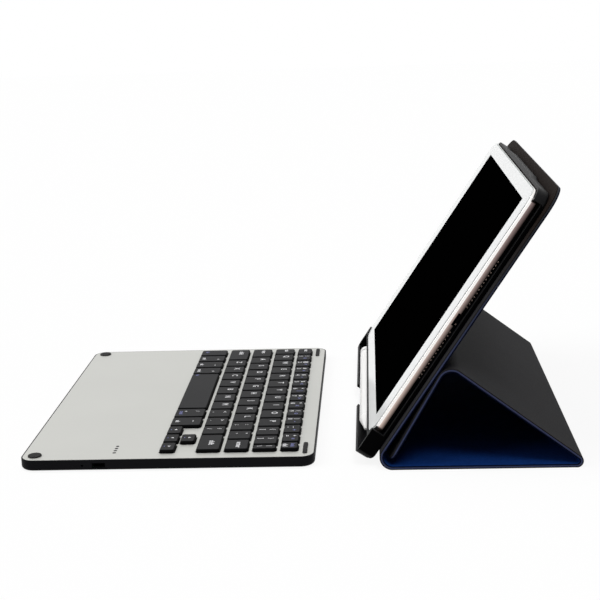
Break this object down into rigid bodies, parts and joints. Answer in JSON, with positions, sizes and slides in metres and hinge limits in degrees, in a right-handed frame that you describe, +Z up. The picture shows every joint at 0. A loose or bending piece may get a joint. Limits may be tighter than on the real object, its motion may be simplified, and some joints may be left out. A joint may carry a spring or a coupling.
{
  "type": "tablet keyboard case",
  "caption": "Slim keyboard with bevelled keycaps in front of a folded leather cover that props up a moulded tray holding a tablet and its pen.",
  "frame": {"origin": "centre of the footprint on the table, as stood up for use", "axes": "+X the user's right, +Y from the palm rest to the rear of the stand, +Z up"},
  "size_m": [0.268, 0.3456, 0.169],
  "materials": {
    "leather": "matte, fine grain",
    "lining": "soft suede nap",
    "stiffener": "dyed board edge",
    "keycap": "satin",
    "dome_rubber": "matte",
    "base_plastic": "satin",
    "plate_metal": "satin",
    "steel": "plain",
    "membrane": "clear film",
    "circuit": "solder mask",
    "chip": "matte",
    "battery_foil": "foil",
    "light_window": "clear",
    "pad_rubber": "matte",
    "tray_plastic": "fine matte",
    "tablet_metal": "anodised",
    "tablet_white": "gloss over white",
    "tablet_dark": "gloss black",
    "pen_white": "gloss",
    "pen_metal": "polished"
  },
  "bodies": {
    "stand": {"base_leather": "leather", "base_board": "stiffener", "base_lining": "lining", "spine_bend": "leather", "rear_bend": "leather"},
    "back": {"back_leather": "leather", "back_board": "stiffener", "back_lining": "lining", "back_keepers": "steel"},
    "rear": {"rear_leather": "leather", "rear_board": "stiffener", "rear_lining": "lining", "apex_bend": "leather"},
    "flap": {"flap_leather": "leather", "flap_board": "stiffener", "flap_lining": "lining"},
    "tray": {"tray_shell": "tray_plastic", "tray_magnets": "steel"},
    "tablet": {"tablet_housing": "tablet_metal", "tablet_border": "tablet_white", "tablet_screen": "tablet_dark"},
    "pen": {"pen_barrel": "pen_white", "pen_band": "pen_metal", "pen_cap": "pen_white", "pen_tip": "pen_white"},
    "keyboard": {"keyboard_base": "base_plastic", "top_plate": "plate_metal", "support_sheet": "steel", "membrane_sheet": "membrane", "key_domes": "dome_rubber", "main_board": "circuit", "board_chips": "chip", "battery": "battery_foil", "charge_socket": "steel", "status_lights": "light_window", "palm_pads": "pad_rubber", "top_pads": "pad_rubber", "rubber_feet": "pad_rubber"},
    "key_arrow_down": {"key_arrow_down": "keycap"},
    "key_arrow_left": {"key_arrow_left": "keycap"},
    "key_arrow_right": {"key_arrow_right": "keycap"},
    "key_arrow_up": {"key_arrow_up": "keycap"},
    "key_caps": {"key_caps": "keycap"},
    "key_enter": {"key_enter": "keycap"},
    "key_escape": {"key_escape": "keycap"},
    "key_lock": {"key_lock": "keycap"},
    "key_shift_left": {"key_shift_left": "keycap"},
    "key_shift_right": {"key_shift_right": "keycap"},
    "key_space": {"key_space": "keycap"},
    "key_tab": {"key_tab": "keycap"},
    "keys_home": {"keys_home": "keycap"},
    "keys_lower": {"keys_lower": "keycap"},
    "keys_modifier_left": {"keys_modifier_left": "keycap"},
    "keys_modifier_right": {"keys_modifier_right": "keycap"},
    "keys_number": {"keys_number": "keycap"},
    "keys_upper": {"keys_upper": "keycap"}
  },
  "joints": [
    {"name": "back_tilt", "type": "hinge", "parent": "stand", "child": "back", "pos_m": [0, 0.05825, 0.008], "axis": [1, 0, 0], "range_deg": [0, 17], "deforming": ["spine_bend"]},
    {"name": "rear_fold", "type": "hinge", "parent": "stand", "child": "rear", "pos_m": [0, 0.16885, 0.004], "axis": [-1, 0, 0], "range_deg": [0, 143], "deforming": ["rear_bend"]},
    {"name": "flap_fold", "type": "hinge", "parent": "rear", "child": "flap", "pos_m": [0, 0.09402, 0.05388], "axis": [1, 0, 0], "range_deg": [0, 83], "deforming": ["apex_bend"]},
    {"name": "tray_lift", "type": "slide", "parent": "back", "child": "tray", "axis": [0, -0.829, 0.5592], "range_m": [0, 0.06]},
    {"name": "tablet_lift", "type": "slide", "parent": "tray", "child": "tablet", "axis": [0, -0.829, 0.5592], "range_m": [0, 0.05]},
    {"name": "pen_lift", "type": "slide", "parent": "tray", "child": "pen", "axis": [0, -0.829, 0.5592], "range_m": [0, 0.03]},
    {"name": "keyboard_slide", "type": "slide", "parent": "stand", "child": "keyboard", "axis": [0, 1, 0], "range_m": [-0.1, 0.015]},
    {"name": "key_arrow_down_press", "type": "slide", "parent": "keyboard", "child": "key_arrow_down", "axis": [0, 0, -1], "range_m": [0, 0.0014], "stiffness_N_per_m": 400, "deforming": ["key_domes"]},
    {"name": "key_arrow_left_press", "type": "slide", "parent": "keyboard", "child": "key_arrow_left", "axis": [0, 0, -1], "range_m": [0, 0.0014], "stiffness_N_per_m": 400, "deforming": ["key_domes"]},
    {"name": "key_arrow_right_press", "type": "slide", "parent": "keyboard", "child": "key_arrow_right", "axis": [0, 0, -1], "range_m": [0, 0.0014], "stiffness_N_per_m": 400, "deforming": ["key_domes"]},
    {"name": "key_arrow_up_press", "type": "slide", "parent": "keyboard", "child": "key_arrow_up", "axis": [0, 0, -1], "range_m": [0, 0.0014], "stiffness_N_per_m": 400, "deforming": ["key_domes"]},
    {"name": "key_caps_press", "type": "slide", "parent": "keyboard", "child": "key_caps", "axis": [0, 0, -1], "range_m": [0, 0.0014], "stiffness_N_per_m": 400, "deforming": ["key_domes"]},
    {"name": "key_enter_press", "type": "slide", "parent": "keyboard", "child": "key_enter", "axis": [0, 0, -1], "range_m": [0, 0.0014], "stiffness_N_per_m": 400, "deforming": ["key_domes"]},
    {"name": "key_escape_press", "type": "slide", "parent": "keyboard", "child": "key_escape", "axis": [0, 0, -1], "range_m": [0, 0.0014], "stiffness_N_per_m": 400, "deforming": ["key_domes"]},
    {"name": "key_lock_press", "type": "slide", "parent": "keyboard", "child": "key_lock", "axis": [0, 0, -1], "range_m": [0, 0.0014], "stiffness_N_per_m": 400, "deforming": ["key_domes"]},
    {"name": "key_shift_left_press", "type": "slide", "parent": "keyboard", "child": "key_shift_left", "axis": [0, 0, -1], "range_m": [0, 0.0014], "stiffness_N_per_m": 400, "deforming": ["key_domes"]},
    {"name": "key_shift_right_press", "type": "slide", "parent": "keyboard", "child": "key_shift_right", "axis": [0, 0, -1], "range_m": [0, 0.0014], "stiffness_N_per_m": 400, "deforming": ["key_domes"]},
    {"name": "key_space_press", "type": "slide", "parent": "keyboard", "child": "key_space", "axis": [0, 0, -1], "range_m": [0, 0.0014], "stiffness_N_per_m": 400, "deforming": ["key_domes"]},
    {"name": "key_tab_press", "type": "slide", "parent": "keyboard", "child": "key_tab", "axis": [0, 0, -1], "range_m": [0, 0.0014], "stiffness_N_per_m": 400, "deforming": ["key_domes"]},
    {"name": "keys_home_press", "type": "slide", "parent": "keyboard", "child": "keys_home", "axis": [0, 0, -1], "range_m": [0, 0.0014], "stiffness_N_per_m": 4400, "deforming": ["key_domes"]},
    {"name": "keys_lower_press", "type": "slide", "parent": "keyboard", "child": "keys_lower", "axis": [0, 0, -1], "range_m": [0, 0.0014], "stiffness_N_per_m": 4000, "deforming": ["key_domes"]},
    {"name": "keys_modifier_left_press", "type": "slide", "parent": "keyboard", "child": "keys_modifier_left", "axis": [0, 0, -1], "range_m": [0, 0.0014], "stiffness_N_per_m": 1600, "deforming": ["key_domes"]},
    {"name": "keys_modifier_right_press", "type": "slide", "parent": "keyboard", "child": "keys_modifier_right", "axis": [0, 0, -1], "range_m": [0, 0.0014], "stiffness_N_per_m": 800, "deforming": ["key_domes"]},
    {"name": "keys_number_press", "type": "slide", "parent": "keyboard", "child": "keys_number", "axis": [0, 0, -1], "range_m": [0, 0.0014], "stiffness_N_per_m": 4800, "deforming": ["key_domes"]},
    {"name": "keys_upper_press", "type": "slide", "parent": "keyboard", "child": "keys_upper", "axis": [0, 0, -1], "range_m": [0, 0.0014], "stiffness_N_per_m": 5200, "deforming": ["key_domes"]}
  ],
  "couplings": [
    {"joint": "flap_fold", "follows": "rear_fold", "ratio": 0.58042}
  ]
}
